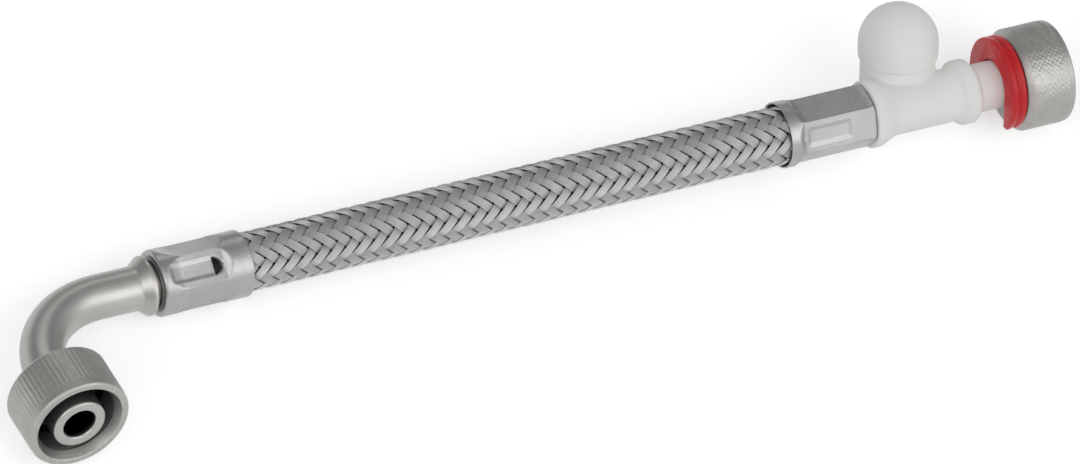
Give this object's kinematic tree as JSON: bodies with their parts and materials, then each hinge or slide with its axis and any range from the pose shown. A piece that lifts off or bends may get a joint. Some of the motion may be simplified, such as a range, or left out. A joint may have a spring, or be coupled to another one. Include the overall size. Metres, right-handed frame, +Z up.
{
  "type": "braided metal connecting hose",
  "caption": "Short hose of braided steel wire with a bent steel outlet, crimped ferrules, a plastic tee with a capped branch, a red locking clip and knurled union nuts.",
  "frame": {"origin": "on the floor, under the middle of the box around the whole hose as it lies", "axes": "+X along the hose from the bent outlet to the tee, +Y away from the outlet's mouth, +Z up from the floor"},
  "size_m": [0.3008, 0.0646, 0.0314],
  "materials": {
    "steel": "satin stainless steel, crimped and bent",
    "braid_steel": "bright woven stainless wire",
    "nickel": "matt nickel plate on knurled brass",
    "natural_plastic": "natural, slightly translucent moulded plastic",
    "red_plastic": "red moulded plastic",
    "black_rubber": "matt black rubber"
  },
  "bodies": {
    "hose": {"hose_liner": "black_rubber", "wire_braid": "braid_steel", "left_ferrule": "steel", "right_ferrule": "steel", "elbow_tube": "steel", "tee_body": "natural_plastic", "branch_cap": "natural_plastic"},
    "left_nut": {"left_union_nut": "nickel"},
    "right_nut": {"right_union_nut": "nickel", "right_seal_washer": "black_rubber"},
    "clip": {"locking_clip": "red_plastic"}
  },
  "joints": [
    {"name": "left_nut_spin", "type": "hinge", "parent": "hose", "child": "left_nut", "pos_m": [-0.13712, -0.0298, 0.01577], "axis": [-0.0039, -0.9791, 0.2035], "continuous": true},
    {"name": "right_nut_spin", "type": "hinge", "parent": "hose", "child": "right_nut", "pos_m": [0.13718, 0.00926, 0.01297], "axis": [0.9998, 0, 0.0194], "continuous": true},
    {"name": "clip_pull", "type": "slide", "parent": "hose", "child": "clip", "axis": [-0.0176, 0.4249, 0.9051], "range_m": [0, 0.016]}
  ]
}
